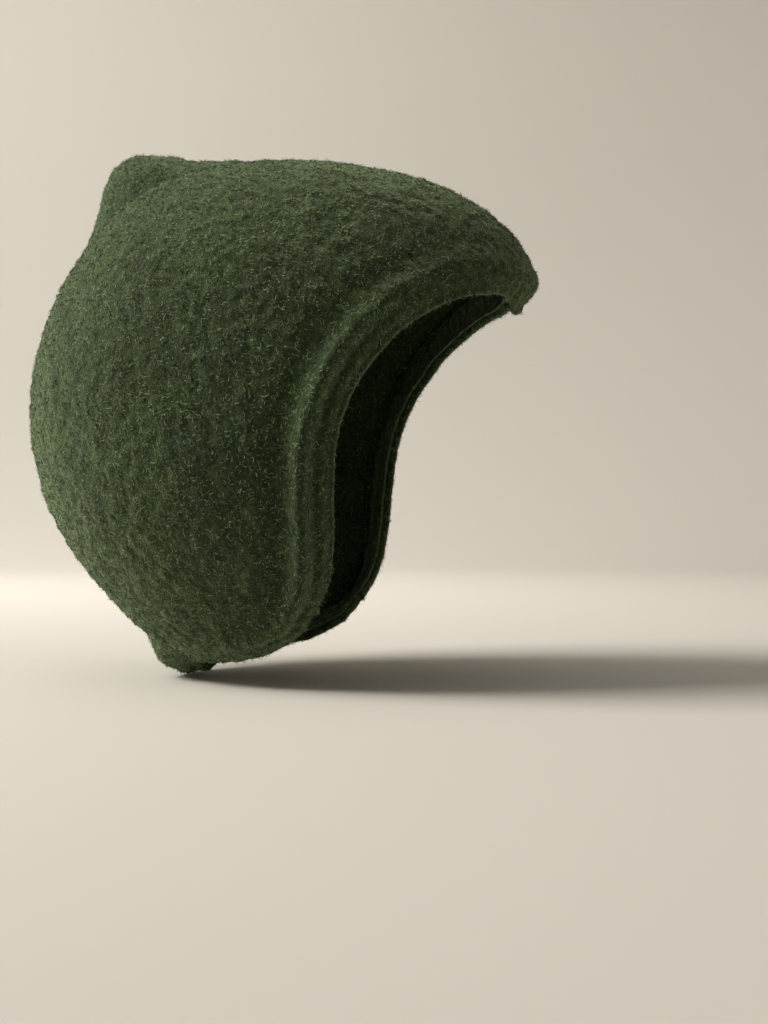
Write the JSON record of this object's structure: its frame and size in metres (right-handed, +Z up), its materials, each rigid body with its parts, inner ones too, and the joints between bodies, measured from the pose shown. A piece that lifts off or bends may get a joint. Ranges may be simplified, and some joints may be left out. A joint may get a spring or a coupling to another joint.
{
  "type": "fulled wool knit beanie",
  "caption": "Thick green fulled-wool knit cap with ear flaps, a covered nape and a small peak at the back of the crown; worn close to the head for warmth.",
  "frame": {"origin": "the point inside the crown where the top of the wearer's head bears", "axes": "+Z up, -Y out of the face opening, +X to the wearer's left"},
  "size_m": [0.168, 0.2215, 0.2278],
  "materials": {
    "fulled_wool": "matte",
    "seam_wool": "matte",
    "sewing_yarn": "matte"
  },
  "bodies": {
    "crown": {"side_panel_right": "fulled_wool", "face_hem_right": "fulled_wool", "neck_hem_right": "fulled_wool", "hem_stitches_right": "sewing_yarn", "side_panel_left": "fulled_wool", "face_hem_left": "fulled_wool", "neck_hem_left": "fulled_wool", "hem_stitches_left": "sewing_yarn", "crown_seam": "seam_wool", "back_seam": "seam_wool", "peak_root": "fulled_wool", "nape_corner": "fulled_wool"},
    "peak": {"peak_tip": "fulled_wool"},
    "flap_right": {"ear_flap_right": "fulled_wool", "flap_hem_right": "fulled_wool"},
    "flap_left": {"ear_flap_left": "fulled_wool", "flap_hem_left": "fulled_wool"}
  },
  "joints": [
    {"name": "peak_bend", "type": "hinge", "parent": "crown", "child": "peak", "pos_m": [0, 0.06756, -0.00438], "axis": [0, 0.8192, -0.5736], "range_deg": [-30, 30], "stiffness_Nm_per_rad": 0.02},
    {"name": "right_flap_fold", "type": "hinge", "parent": "crown", "child": "flap_right", "pos_m": [-0.0693, -0.004, -0.169], "axis": [0.3364, 0.6107, -0.7168], "range_deg": [0, 80], "stiffness_Nm_per_rad": 0.02},
    {"name": "left_flap_fold", "type": "hinge", "parent": "crown", "child": "flap_left", "pos_m": [0.0693, -0.004, -0.169], "axis": [0.3364, -0.6107, 0.7168], "range_deg": [0, 80], "stiffness_Nm_per_rad": 0.02}
  ]
}
